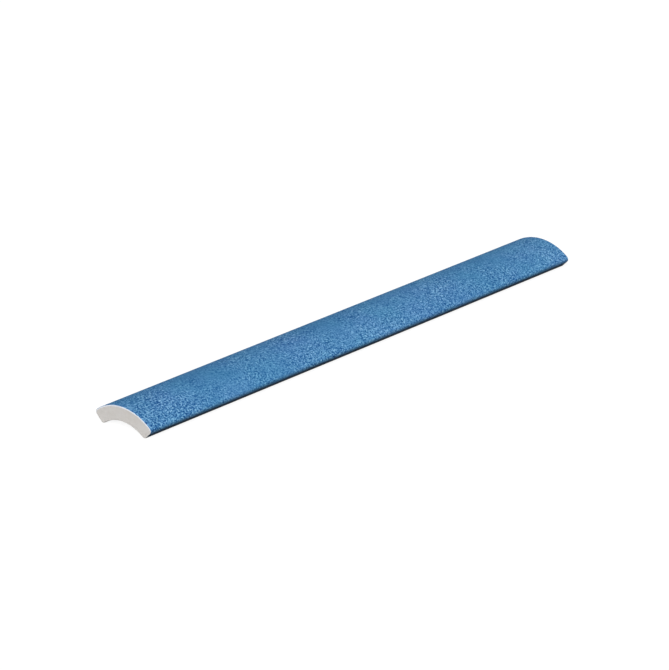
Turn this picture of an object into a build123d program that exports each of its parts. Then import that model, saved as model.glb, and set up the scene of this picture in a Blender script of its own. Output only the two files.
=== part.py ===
from build123d import *
from math import cos, radians, sin, tan
import os

# Quarter-round trim tile: one fired arch of porcelain that turns an outside corner between two tiled faces.
# +X runs along the tile, +Y across it and +Z up. It lies on its two feet with the glazed crown uppermost,
# and its origin is on the ground under the middle of the tile.

# Driving dimensions, in millimetres and degrees
tile_length = 300.0        # end to end
crown_radius = 28.7        # glazed outer face, about the arch's axis
wall = 7.4                 # body, measured along a radius
glazed_sweep = 81.4        # outer face between its two edges, before they are rounded
corner_angle = 90.0        # corner that the tile turns: its two joint faces stand at this angle
glazed_edge_radius = 1.8   # rounding from the glazed face to a joint face
foot_radius = 1.7          # rounding from a joint face to the concave back
end_arris = 0.4            # easing round each square end

# Worked out from the driving dimensions
back_radius = crown_radius - wall
half_sweep = radians(glazed_sweep / 2)
half_corner = radians(corner_angle / 2)


def joint_wedge():
    """The space between the two joint planes, which pass through the edges of the outer face."""
    edge_y = crown_radius * sin(half_sweep)
    edge_z = crown_radius * cos(half_sweep)
    apex_z = edge_z - edge_y / tan(half_corner)
    rise = 2 * crown_radius
    spread = rise * tan(half_corner)
    return Polygon((0, apex_z), (spread, apex_z + rise), (-spread, apex_z + rise), align=None)


def arch_section():
    """The tile's section about the arch's axis: a ring between the joint planes, with its corners rounded."""
    axis = Vector(0, 0, 0)
    arch = (Circle(crown_radius) - Circle(back_radius)) & joint_wedge()
    glazed_edges = arch.vertices().sort_by_distance(axis)[2:]
    arch = fillet(glazed_edges, glazed_edge_radius)
    feet = arch.vertices().sort_by_distance(axis)[:2]
    return fillet(feet, foot_radius)


def trim_tile():
    """The section drawn out to the tile's length, with both ends eased, set down on its feet."""
    bar = extrude(Plane.YZ * arch_section(), amount=tile_length / 2, both=True)
    ends = bar.faces().filter_by(Axis.X)
    tile = fillet(ends.edges(), end_arris)
    return Pos(0, 0, -tile.bounding_box().min.Z) * tile


tile = trim_tile()
os.makedirs("parts", exist_ok=True)
export_step(tile, "parts/trim_tile.step")

print("length, width and height", [round(side, 3) for side in tile.bounding_box().size])
for face in tile.faces().filter_by(GeomType.PLANE):
    print("flat face at", [round(value, 3) for value in face.center()], "area", round(face.area, 1))
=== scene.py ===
import math

import bmesh
import bpy
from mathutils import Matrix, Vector


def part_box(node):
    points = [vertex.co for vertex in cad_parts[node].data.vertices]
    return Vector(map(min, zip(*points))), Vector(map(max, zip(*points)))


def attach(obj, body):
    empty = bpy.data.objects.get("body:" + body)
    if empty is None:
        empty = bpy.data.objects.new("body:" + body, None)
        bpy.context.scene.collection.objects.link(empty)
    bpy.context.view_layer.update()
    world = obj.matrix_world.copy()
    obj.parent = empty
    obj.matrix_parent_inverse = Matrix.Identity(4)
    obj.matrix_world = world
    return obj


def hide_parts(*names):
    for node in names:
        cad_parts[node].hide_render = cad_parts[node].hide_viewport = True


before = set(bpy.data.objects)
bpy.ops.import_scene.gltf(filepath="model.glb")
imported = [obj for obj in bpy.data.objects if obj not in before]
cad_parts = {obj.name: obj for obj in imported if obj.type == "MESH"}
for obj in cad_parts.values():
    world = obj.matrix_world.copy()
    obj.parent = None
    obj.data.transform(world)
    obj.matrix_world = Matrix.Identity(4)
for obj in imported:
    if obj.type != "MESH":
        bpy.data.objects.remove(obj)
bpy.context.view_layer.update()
tileLow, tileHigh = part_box("trim_tile")
mm = 0.001
hair = 0.001 * mm    # points closer than this count as one
noiseSpan = (0.3, 0.7)    # where nearly all values of a noise texture lie
print("frame loaded, tile", [round(side / mm, 2) for side in tileHigh - tileLow], "mm")


# small helpers

def linearColour(hexCode):
    channels = [int(hexCode[i:i + 2], 16) / 255 for i in (1, 3, 5)]
    return [c / 12.92 if c <= 0.04045 else ((c + 0.055) / 1.055) ** 2.4 for c in channels] + [1.0]


def cellsFor(sizeMm):    # texture scale, in cells per metre, for a pattern of that size
    return 1000.0 / sizeMm


# inputs are values or sockets to link; a colour Mix takes its colours on 6 and 7 and gives them out on 2
def addNode(tree, kind, inputs=None, **settings):
    node = tree.nodes.new(kind)
    for name, value in settings.items():
        setattr(node, name, value)
    for name, value in (inputs or {}).items():
        if isinstance(value, bpy.types.NodeSocket):
            tree.links.new(value, node.inputs[name])
        else:
            node.inputs[name].default_value = value
    return node


def newMaterial(name):
    material = bpy.data.materials.new(name)
    material.use_nodes = True
    tree = material.node_tree
    tree.nodes.clear()
    shader = addNode(tree, "ShaderNodeBsdfPrincipled")
    addNode(tree, "ShaderNodeOutputMaterial", {"Surface": shader.outputs[0]})
    return material, tree, shader


def pick(tile, kind, rule):    # edit mode: selects only the edges or faces that the rule takes
    bpy.ops.mesh.select_mode(type="EDGE" if kind == "edges" else "FACE")
    bpy.ops.mesh.select_all(action="DESELECT")
    mesh = bmesh.from_edit_mesh(tile.data)
    found = [item for item in getattr(mesh, kind) if rule(item)]
    for item in found:
        item.select_set(True)
    mesh.select_flush_mode()
    bmesh.update_edit_mesh(tile.data)
    return len(found)


# the tile: one arch, drawn as half a section and pulled out to its length

tileShape = {
    "crownRadius": 28.69 * mm,   # glazed face, about the arch's axis, a hair inside the solid's
    "wall": 7.39 * mm,
    "glazedSweep": 81.4,         # degrees of glazed face before its edges are rounded
    "cornerAngle": 90.0,         # degrees between the two joint faces
    "edgeRadius": 1.8 * mm,      # glazed edge
    "footRadius": 1.7 * mm,
    "endArris": 0.4 * mm,
    "crownSteps": 36,            # steps in half of the crown
    "edgeSteps": 10,
    "footSteps": 10,
    "backSteps": 24,
    "arrisSteps": 4,
    "endFlat": 0.999,            # part of a normal along the tile, on the flat of an end
    "endMargin": 0.3 * mm,       # ring of small faces inside the arris, so that the end shades flat
    "longEdge": 10 * mm,         # only the edges along the tile are longer
    "lengthCuts": 59,
}
axisZ = tileHigh.z - tileShape["crownRadius"]    # height of the arch's axis
backRadius = tileShape["crownRadius"] - tileShape["wall"]


def roundingCentre(fromAxis, rounding):    # centre (y, z) of a rounding that touches the joint face
    sweep = math.radians(tileShape["glazedSweep"] / 2)
    corner = math.radians(tileShape["cornerAngle"] / 2)
    edge = tileShape["crownRadius"] * Vector((math.sin(sweep), math.cos(sweep)))
    along = Vector((math.sin(corner), math.cos(corner)))      # up the joint face
    inward = Vector((-math.cos(corner), math.sin(corner)))    # into the body
    start = edge + inward * rounding
    reach = start.dot(along)
    return start - along * (reach - math.sqrt(reach ** 2 - start.dot(start) + fromAxis ** 2))


def spinLine(steps, turn, centre):    # carries the picked point round an arc, a positive turn towards +Y
    place = (tileLow.x, centre[0], axisZ + centre[1])
    bpy.ops.mesh.spin(steps=steps, angle=turn, center=place, axis=(1, 0, 0))


def lengthOf(edge):    # how far it runs along the tile
    return abs(edge.verts[0].co.x - edge.verts[1].co.x)


def modelTile():
    shape = tileShape
    corner = math.radians(shape["cornerAngle"] / 2)
    edgeCentre = roundingCentre(shape["crownRadius"] - shape["edgeRadius"], shape["edgeRadius"])
    footCentre = roundingCentre(backRadius + shape["footRadius"], shape["footRadius"])
    edgeTilt = math.atan2(edgeCentre.x, edgeCentre.y)
    footTilt = math.atan2(footCentre.x, footCentre.y)
    outward = Vector((math.cos(corner), -math.sin(corner)))
    jointTop = edgeCentre + outward * shape["edgeRadius"]
    jointFoot = footCentre + outward * shape["footRadius"]
    jointRun = jointFoot - jointTop

    bpy.ops.object.select_all(action="DESELECT")
    bpy.ops.mesh.primitive_plane_add(size=mm, location=(tileLow.x, 0, tileHigh.z))
    tile = bpy.context.object
    tile.name = "porcelain_tile"
    bpy.ops.object.transform_apply(location=True, rotation=True, scale=True)
    bpy.ops.object.mode_set(mode="EDIT")
    bpy.ops.mesh.select_mode(type="VERT")
    bpy.ops.mesh.select_all(action="SELECT")
    bpy.ops.mesh.merge(type="CENTER")    # one point on the crown line, at the left end
    spinLine(shape["crownSteps"], edgeTilt, (0, 0))
    spinLine(shape["edgeSteps"], math.pi / 2 + corner - edgeTilt, edgeCentre)
    bpy.ops.mesh.extrude_vertices_move(TRANSFORM_OT_translate={"value": (0, jointRun.x, jointRun.y)})
    spinLine(shape["footSteps"], math.pi / 2 - corner + footTilt, footCentre)
    spinLine(shape["backSteps"], -footTilt, (0, 0))
    bpy.ops.object.mode_set(mode="OBJECT")

    mirror = tile.modifiers.new("other_half", "MIRROR")
    mirror.use_axis = (False, True, False)
    mirror.merge_threshold = hair
    bpy.ops.object.modifier_apply(modifier=mirror.name)

    bpy.ops.object.mode_set(mode="EDIT")
    bpy.ops.mesh.select_mode(type="EDGE")
    bpy.ops.mesh.select_all(action="SELECT")
    bpy.ops.mesh.edge_face_add()
    bpy.ops.mesh.extrude_region_move(TRANSFORM_OT_translate={"value": (tileHigh.x - tileLow.x, 0, 0)})
    bpy.ops.mesh.select_all(action="SELECT")
    bpy.ops.mesh.remove_doubles(threshold=hair)
    bpy.ops.mesh.normals_make_consistent(inside=False)
    pick(tile, "edges", lambda edge: lengthOf(edge) < hair)    # outlines of the two ends
    bpy.ops.mesh.bevel(offset=shape["endArris"], segments=shape["arrisSteps"], profile=0.5, affect="EDGES")
    pick(tile, "faces", lambda face: abs(face.normal.x) > shape["endFlat"])
    bpy.ops.mesh.inset(thickness=shape["endMargin"], depth=0)
    pick(tile, "edges", lambda edge: lengthOf(edge) > shape["longEdge"])
    bpy.ops.mesh.subdivide(number_cuts=shape["lengthCuts"])
    bpy.ops.object.mode_set(mode="OBJECT")
    return tile


tile = modelTile()
print("tile modelled,", len(tile.data.polygons), "faces")


# finishes

def paintRamp(node, stops):    # stops are (place, hex colour) pairs, lowest first
    elements = node.color_ramp.elements
    for spot in range(2, len(stops)):
        elements.new(spot / len(stops))
    for element, (spot, hexCode) in zip(elements, stops):
        element.position = spot
        element.color = linearColour(hexCode)


def mottledGlaze():
    # Matt porcelain glaze, sprayed on and fired: blue frit with navy and pale flecks that gather in clouds.
    # It has no sharp reflection, only a dull sheen, so the flecks carry the look. Down the joint faces it
    # thins to an overspray, darkened to slate as painted shade under the glazed edge, and then to the body.
    look = {
        "flecks": ((0.0, "#0D417D"), (0.25, "#2B6399"), (0.5, "#4F87B8"), (0.75, "#72AAD4"),
                   (1.0, "#97CCEA")),
        "fleckMm": 0.8, "fleckSeed": 21.0,
        "calm": 0.95, "lively": 3.2,         # spread of the flecks between and inside the clouds
        "cloudMm": 34, "cloudSeed": 181.85, "cloudEdges": (0.36, 0.64),
        "tone": 0.05,                        # half the swing of the soft light and dark patches
        "toneMm": 20, "toneSeed": 839.65,
        "tints": ((0.3, "#F2FFFC"), (0.5, "#FCFDFE"), (0.7, "#FFF7FF")),    # cool to warm
        "tintMm": 22, "tintSeed": 955.75,
        # the overspray's slate-dark is painted shade under the glazed edge
        "paintedShadeOverspray": "#364757", "bare": "#C8C5C1",
        # distances from the arch's axis, with the brim's ragged depth added, 0.5 mm on average
        "fullFrom": 29.0 * mm, "thinFrom": 26.3 * mm, "coverFrom": 23.8 * mm, "bareFrom": 23.3 * mm,
        "raggedMm": 1.2, "raggedDepth": 1.0 * mm,
        "roughness": (0.88, 1.0), "sheen": 0.01,
        "bump": 0.3, "bumpDepth": 0.05 * mm,
    }
    material, tree, shader = newMaterial("matt_mottled_glaze")
    place = addNode(tree, "ShaderNodeTexCoord").outputs["Object"]

    # flecks, spread wider inside the clouds and shifted by the soft patches
    cloud = addNode(tree, "ShaderNodeTexNoise", {
        "Vector": place, "W": look["cloudSeed"], "Scale": cellsFor(look["cloudMm"]),
        "Detail": 3.0, "Roughness": 0.55}, noise_dimensions="4D")
    lively = addNode(tree, "ShaderNodeMapRange", {
        "Value": cloud.outputs[0], "From Min": look["cloudEdges"][0], "From Max": look["cloudEdges"][1],
        "To Min": look["calm"], "To Max": look["lively"]})
    fleck = addNode(tree, "ShaderNodeTexNoise", {
        "Vector": place, "W": look["fleckSeed"], "Scale": cellsFor(look["fleckMm"]),
        "Detail": 2.0, "Roughness": 0.6}, noise_dimensions="4D")
    offset = addNode(tree, "ShaderNodeMath", {0: fleck.outputs[0], 1: 0.5}, operation="SUBTRACT")
    spread = addNode(tree, "ShaderNodeMath", {0: offset.outputs[0], 1: lively.outputs[0]},
                     operation="MULTIPLY")
    patches = addNode(tree, "ShaderNodeTexNoise", {
        "Vector": place, "W": look["toneSeed"], "Scale": cellsFor(look["toneMm"]),
        "Detail": 4.0, "Roughness": 0.6}, noise_dimensions="4D")
    tone = addNode(tree, "ShaderNodeMapRange", {
        "Value": patches.outputs[0], "From Min": noiseSpan[0], "From Max": noiseSpan[1],
        "To Min": 0.5 - look["tone"], "To Max": 0.5 + look["tone"]})
    level = addNode(tree, "ShaderNodeMath", {0: spread.outputs[0], 1: tone.outputs[0]}, operation="ADD")
    speckled = addNode(tree, "ShaderNodeValToRGB", {0: level.outputs[0]})
    paintRamp(speckled, look["flecks"])

    # slow drift of the blue
    drift = addNode(tree, "ShaderNodeTexNoise", {
        "Vector": place, "W": look["tintSeed"], "Scale": cellsFor(look["tintMm"]),
        "Detail": 4.0, "Roughness": 0.6}, noise_dimensions="4D")
    tint = addNode(tree, "ShaderNodeValToRGB", {0: drift.outputs[0]})
    paintRamp(tint, look["tints"])
    glazed = addNode(tree, "ShaderNodeMix", {0: 1.0, 6: speckled.outputs[0], 7: tint.outputs[0]},
                     data_type="RGBA", blend_type="MULTIPLY")

    # overspray, darkened as painted shade, and bare body down the joint faces
    across = addNode(tree, "ShaderNodeVectorMath", {0: place, 1: (0, 1, 1), 2: (0, 0, -axisZ)},
                     operation="MULTIPLY_ADD")
    fromAxis = addNode(tree, "ShaderNodeVectorMath", {0: across.outputs[0]}, operation="LENGTH")
    ragged = addNode(tree, "ShaderNodeTexNoise", {
        "Vector": place, "Scale": cellsFor(look["raggedMm"]), "Detail": 3.0})
    brim = addNode(tree, "ShaderNodeMath", {
        0: ragged.outputs[0], 1: look["raggedDepth"], 2: fromAxis.outputs["Value"]}, operation="MULTIPLY_ADD")
    shadeCover = addNode(tree, "ShaderNodeMapRange", {
        "Value": brim.outputs[0], "From Min": look["bareFrom"], "From Max": look["coverFrom"]})
    jointShade = addNode(tree, "ShaderNodeMix", {
        0: shadeCover.outputs[0], 6: linearColour(look["bare"]), 7: linearColour(look["paintedShadeOverspray"])},
        data_type="RGBA")
    full = addNode(tree, "ShaderNodeMapRange", {
        "Value": brim.outputs[0], "From Min": look["thinFrom"], "From Max": look["fullFrom"]})
    colour = addNode(tree, "ShaderNodeMix", {0: full.outputs[0], 6: jointShade.outputs[2], 7: glazed.outputs[2]},
                     data_type="RGBA")
    tree.links.new(colour.outputs[2], shader.inputs["Base Color"])

    rough = addNode(tree, "ShaderNodeMapRange", {
        "Value": fleck.outputs[0], "From Min": noiseSpan[0], "From Max": noiseSpan[1],
        "To Min": look["roughness"][0], "To Max": look["roughness"][1]})
    tree.links.new(rough.outputs[0], shader.inputs["Roughness"])
    bump = addNode(tree, "ShaderNodeBump", {
        "Height": fleck.outputs[0], "Strength": look["bump"], "Distance": look["bumpDepth"]})
    tree.links.new(bump.outputs[0], shader.inputs["Normal"])
    shader.inputs["Specular IOR Level"].default_value = look["sheen"]
    return material


def barePorcelain():
    # Dense vitrified body as it leaves the kiln: pale warm grey and dull, with a few iron specks and faint
    # streaks along the tile from the press. Its grain is drawn coarser than the real one, so that it shows.
    look = {
        "body": "#C9C6C3", "shade": "#C3BFBA", "shadeEdges": (0.12, 0.4),
        "streakMm": 1.4, "streakLength": 40,    # a streak is this many times as long as it is wide
        "patchMm": 9,
        "speck": "#AAA095", "speckMm": 1.1, "speckEdges": (0.74, 0.82),
        "grainMm": 0.7,
        "roughness": (0.86, 0.96), "sheen": 0.05,
        "bump": 0.35, "bumpDepth": 0.04 * mm,
    }
    material, tree, shader = newMaterial("bare_fired_porcelain")
    place = addNode(tree, "ShaderNodeTexCoord").outputs["Object"]
    along = addNode(tree, "ShaderNodeMapping", {"Vector": place, "Scale": (1 / look["streakLength"], 1, 1)})
    grain = addNode(tree, "ShaderNodeTexNoise", {
        "Vector": place, "Scale": cellsFor(look["grainMm"]), "Detail": 3.0})
    streak = addNode(tree, "ShaderNodeTexNoise", {
        "Vector": along.outputs[0], "Scale": cellsFor(look["streakMm"]), "Detail": 2.0})
    patch = addNode(tree, "ShaderNodeTexNoise", {
        "Vector": place, "Scale": cellsFor(look["patchMm"]), "Detail": 3.0})
    uneven = addNode(tree, "ShaderNodeMath", {0: streak.outputs[0], 1: patch.outputs[0]},
                     operation="MULTIPLY")
    share = addNode(tree, "ShaderNodeMapRange", {
        "Value": uneven.outputs[0], "From Min": look["shadeEdges"][0], "From Max": look["shadeEdges"][1]})
    clay = addNode(tree, "ShaderNodeMix", {
        0: share.outputs[0], 6: linearColour(look["body"]), 7: linearColour(look["shade"])},
        data_type="RGBA")
    dots = addNode(tree, "ShaderNodeTexNoise", {
        "Vector": place, "Scale": cellsFor(look["speckMm"]), "Detail": 1.0})
    specks = addNode(tree, "ShaderNodeMapRange", {
        "Value": dots.outputs[0], "From Min": look["speckEdges"][0], "From Max": look["speckEdges"][1]})
    colour = addNode(tree, "ShaderNodeMix", {
        0: specks.outputs[0], 6: clay.outputs[2], 7: linearColour(look["speck"])}, data_type="RGBA")
    tree.links.new(colour.outputs[2], shader.inputs["Base Color"])
    rough = addNode(tree, "ShaderNodeMapRange", {
        "Value": grain.outputs[0], "From Min": noiseSpan[0], "From Max": noiseSpan[1],
        "To Min": look["roughness"][0], "To Max": look["roughness"][1]})
    tree.links.new(rough.outputs[0], shader.inputs["Roughness"])
    relief = addNode(tree, "ShaderNodeMath", {0: grain.outputs[0], 1: streak.outputs[0]}, operation="ADD")
    bump = addNode(tree, "ShaderNodeBump", {
        "Height": relief.outputs[0], "Strength": look["bump"], "Distance": look["bumpDepth"]})
    tree.links.new(bump.outputs[0], shader.inputs["Normal"])
    shader.inputs["Specular IOR Level"].default_value = look["sheen"]
    return material


def engobeAndHighlight():
    # Pale slip between body and glaze, matt, drawn lighter as a painted highlight. It shows edge-on as a
    # fine light line round the glazed outline, a little uneven where the glaze breaks over it.
    look = {
        "slipHighlight": "#D6DBE3", "worn": "#C9CBD0", "wearMm": 1.5, "wearEdges": (0.45, 0.75),
        "grainMm": 0.5,
        "roughness": (0.8, 0.9), "sheen": 0.05,
        "bump": 0.3, "bumpDepth": 0.03 * mm,
    }
    material, tree, shader = newMaterial("pale_engobe_painted_highlight")
    place = addNode(tree, "ShaderNodeTexCoord").outputs["Object"]
    wear = addNode(tree, "ShaderNodeTexNoise", {
        "Vector": place, "Scale": cellsFor(look["wearMm"]), "Detail": 3.0})
    share = addNode(tree, "ShaderNodeMapRange", {
        "Value": wear.outputs[0], "From Min": look["wearEdges"][0], "From Max": look["wearEdges"][1]})
    colour = addNode(tree, "ShaderNodeMix", {
        0: share.outputs[0], 6: linearColour(look["slipHighlight"]), 7: linearColour(look["worn"])},
        data_type="RGBA")
    tree.links.new(colour.outputs[2], shader.inputs["Base Color"])
    grain = addNode(tree, "ShaderNodeTexNoise", {
        "Vector": place, "Scale": cellsFor(look["grainMm"]), "Detail": 2.0})
    rough = addNode(tree, "ShaderNodeMapRange", {
        "Value": grain.outputs[0], "From Min": noiseSpan[0], "From Max": noiseSpan[1],
        "To Min": look["roughness"][0], "To Max": look["roughness"][1]})
    tree.links.new(rough.outputs[0], shader.inputs["Roughness"])
    bump = addNode(tree, "ShaderNodeBump", {
        "Height": grain.outputs[0], "Strength": look["bump"], "Distance": look["bumpDepth"]})
    tree.links.new(bump.outputs[0], shader.inputs["Normal"])
    shader.inputs["Specular IOR Level"].default_value = look["sheen"]
    return material


bodyFinish, glazeFinish, slipHighlightFinish = 0, 1, 2    # order of the finishes on the tile
finishPlan = {
    "endTurn": 0.6,                 # a face whose normal has more than this along the tile is on an end
    "jointMargin": 0.3 * mm,        # glaze starts this far above the foot's rounding
    "slipHighlightDepth": 1.2 * mm,          # slip with its painted highlight shows on the ends this far in from the crown
    "bareMapScale": 0.6,            # the plain back and ends need less of the flat map
    "mapCut": 50 * mm,              # rings where the flat map is cut, either side of the middle
    "mapCutSlack": 0.5 * mm,
    "mapMargin": 0.004,
}


def isEnd(face):
    return abs(face.normal.x) > finishPlan["endTurn"]


def dressTile(tile):
    for material in (barePorcelain(), mottledGlaze(), engobeAndHighlight()):
        tile.data.materials.append(material)
    glazeFrom = backRadius + tileShape["footRadius"] + finishPlan["jointMargin"]
    slipHighlightFrom = tileShape["crownRadius"] - finishPlan["slipHighlightDepth"]
    for face in tile.data.polygons:
        fromAxis = math.hypot(face.center.y, face.center.z - axisZ)
        if isEnd(face):
            # ends near the crown take the slip, whose pale colour is a painted highlight
            face.material_index = slipHighlightFinish if fromAxis > slipHighlightFrom else bodyFinish
        else:
            face.material_index = glazeFinish if fromAxis > glazeFrom else bodyFinish
    bpy.ops.object.select_all(action="DESELECT")
    tile.select_set(True)
    bpy.context.view_layer.objects.active = tile
    bpy.ops.object.shade_smooth()
    weighted = tile.modifiers.new("flat_ends", "WEIGHTED_NORMAL")
    weighted.keep_sharp = True
    bpy.ops.object.modifier_apply(modifier=weighted.name)


def isSeam(edge):    # round the ends, between finishes along the tile, and at the two rings
    if len(edge.link_faces) != 2:
        return False
    one, other = edge.link_faces
    if isEnd(one) != isEnd(other):
        return True
    if not isEnd(one) and one.material_index != other.material_index:
        return True
    return all(abs(abs(corner.co.x) - finishPlan["mapCut"]) < finishPlan["mapCutSlack"]
               for corner in edge.verts)


def unwrapTile(tile):    # flat map for the baked finish: glaze and back in three lengths each, and two ends
    tile.data.uv_layers.active.name = "OFBake"
    bpy.ops.object.mode_set(mode="EDIT")
    print("flat map cut along", pick(tile, "edges", isSeam), "edges")
    bpy.ops.mesh.mark_seam(clear=False)
    bpy.ops.mesh.select_all(action="SELECT")
    bpy.context.scene.tool_settings.use_uv_select_sync = True    # the map follows the picked faces
    bpy.ops.uv.unwrap(method="CONFORMAL", margin=finishPlan["mapMargin"])
    bpy.ops.uv.average_islands_scale()
    mesh = bmesh.from_edit_mesh(tile.data)
    flatMap = mesh.loops.layers.uv.active
    for face in mesh.faces:
        if face.material_index != glazeFinish:
            for loop in face.loops:
                loop[flatMap].uv *= finishPlan["bareMapScale"]
    bmesh.update_edit_mesh(tile.data)
    bpy.ops.uv.pack_islands(rotate=True, rotate_method="CARDINAL", shape_method="AABB",
                            margin_method="FRACTION", margin=finishPlan["mapMargin"])
    bpy.ops.object.mode_set(mode="OBJECT")


dressTile(tile)
unwrapTile(tile)
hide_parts("trim_tile")
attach(tile, "root")
print("tile dressed")


# the stage: pale floor, soft light and camera

stageLook = {
    "floorSize": 8.0,
    "white": "#FFFFFF",
    "floorGlow": 0.92,            # what the camera sees of the floor where it is in shade
    "floorLit": "#6C6C6C",        # what the lamps add to that
    "floorBounce": "#CBCBCB",     # the grey that throws light back up at the tile
    # lamps: name, way from the tile to it, distance, width, height, level; a level of 1 on a face turned
    # to the lamp renders its colour as written
    "lamps": (
        ("key", (-0.66, -0.376, 0.65), 8.0, 4.5, 4.5, 1.16),
        ("front_strip", (0.0, -0.99, 0.14), 6.0, 6.0, 0.8, 0.04),    # low, under the glazed front edge
        ("right_fill", (0.99, 0.0, 0.14), 6.0, 3.0, 1.5, 0.4),
    ),
    "skyLevel": 0.07,             # even light from above the horizon
}


def raySeen(tree):    # 1 where the eye sees the surface itself, in a mirror or through glass
    path = addNode(tree, "ShaderNodeLightPath")
    seen = addNode(tree, "ShaderNodeMath", {
        0: path.outputs["Is Camera Ray"], 1: path.outputs["Is Glossy Ray"]}, operation="MAXIMUM")
    seen = addNode(tree, "ShaderNodeMath", {
        0: seen.outputs[0], 1: path.outputs["Is Transmission Ray"]}, operation="MAXIMUM")
    return seen.outputs[0]


def layFloor():
    bpy.ops.object.select_all(action="DESELECT")
    bpy.ops.mesh.primitive_plane_add(size=stageLook["floorSize"], location=(0, 0, 0))
    floor = bpy.context.object
    floor.name = "floor"
    material = bpy.data.materials.new("pale_floor")
    material.use_nodes = True
    tree = material.node_tree
    tree.nodes.clear()
    glow = addNode(tree, "ShaderNodeEmission", {
        "Color": linearColour(stageLook["white"]), "Strength": stageLook["floorGlow"]})
    lit = addNode(tree, "ShaderNodeBsdfDiffuse", {"Color": linearColour(stageLook["floorLit"])})
    pale = addNode(tree, "ShaderNodeAddShader", {0: glow.outputs[0], 1: lit.outputs[0]})
    dim = addNode(tree, "ShaderNodeBsdfDiffuse", {"Color": linearColour(stageLook["floorBounce"])})
    both = addNode(tree, "ShaderNodeMixShader", {0: raySeen(tree), 1: dim.outputs[0], 2: pale.outputs[0]})
    addNode(tree, "ShaderNodeOutputMaterial", {"Surface": both.outputs[0]})
    floor.data.materials.append(material)


def lightStage():
    for name, way, distance, width, height, level in stageLook["lamps"]:
        towards = Vector(way).normalized()
        lamp = bpy.data.lights.new(name, "AREA")
        lamp.shape = "ELLIPSE"
        lamp.size = width
        lamp.size_y = height
        lamp.energy = level * math.pi ** 2 * distance ** 2
        softbox = bpy.data.objects.new(name, lamp)
        softbox.location = towards * distance
        softbox.rotation_euler = towards.to_track_quat("Z", "Y").to_euler()
        bpy.context.scene.collection.objects.link(softbox)

    world = bpy.data.worlds.new("studio")
    bpy.context.scene.world = world
    world.use_nodes = True
    tree = world.node_tree
    tree.nodes.clear()
    place = addNode(tree, "ShaderNodeTexCoord")
    ray = addNode(tree, "ShaderNodeSeparateXYZ", {0: place.outputs["Generated"]})
    above = addNode(tree, "ShaderNodeMath", {0: ray.outputs["Z"], 1: 0.0}, operation="GREATER_THAN")
    sky = addNode(tree, "ShaderNodeMath", {0: above.outputs[0], 1: stageLook["skyLevel"]},
                  operation="MULTIPLY")
    level = addNode(tree, "ShaderNodeMix", {0: raySeen(tree), 2: sky.outputs[0], 3: 1.0}, data_type="FLOAT")
    back = addNode(tree, "ShaderNodeBackground", {
        "Color": linearColour(stageLook["white"]), "Strength": level.outputs[0]})
    addNode(tree, "ShaderNodeOutputWorld", {"Surface": back.outputs[0]})


cameraView = {
    "azimuth": -47.638,      # degrees, 0 looks along +Y
    "elevation": 21.764,
    "distance": 1.6539,
    "aim": Vector((0.001014, 0.007966, 0.000047)),
    "lens": 182.940,
    "sensor": 36.0,
}


def placeCamera():
    turn = math.radians(cameraView["azimuth"])
    rise = math.radians(cameraView["elevation"])
    back = Vector((math.sin(turn) * math.cos(rise), -math.cos(turn) * math.cos(rise), math.sin(rise)))
    lens = bpy.data.cameras.new("camera")
    lens.lens = cameraView["lens"]
    lens.sensor_width = cameraView["sensor"]
    camera = bpy.data.objects.new("camera", lens)
    camera.location = cameraView["aim"] + back * cameraView["distance"]
    camera.rotation_euler = back.to_track_quat("Z", "Y").to_euler()
    bpy.context.scene.collection.objects.link(camera)
    bpy.context.scene.camera = camera


layFloor()
lightStage()
placeCamera()
bpy.context.scene.view_settings.view_transform = "Standard"
print("stage set")
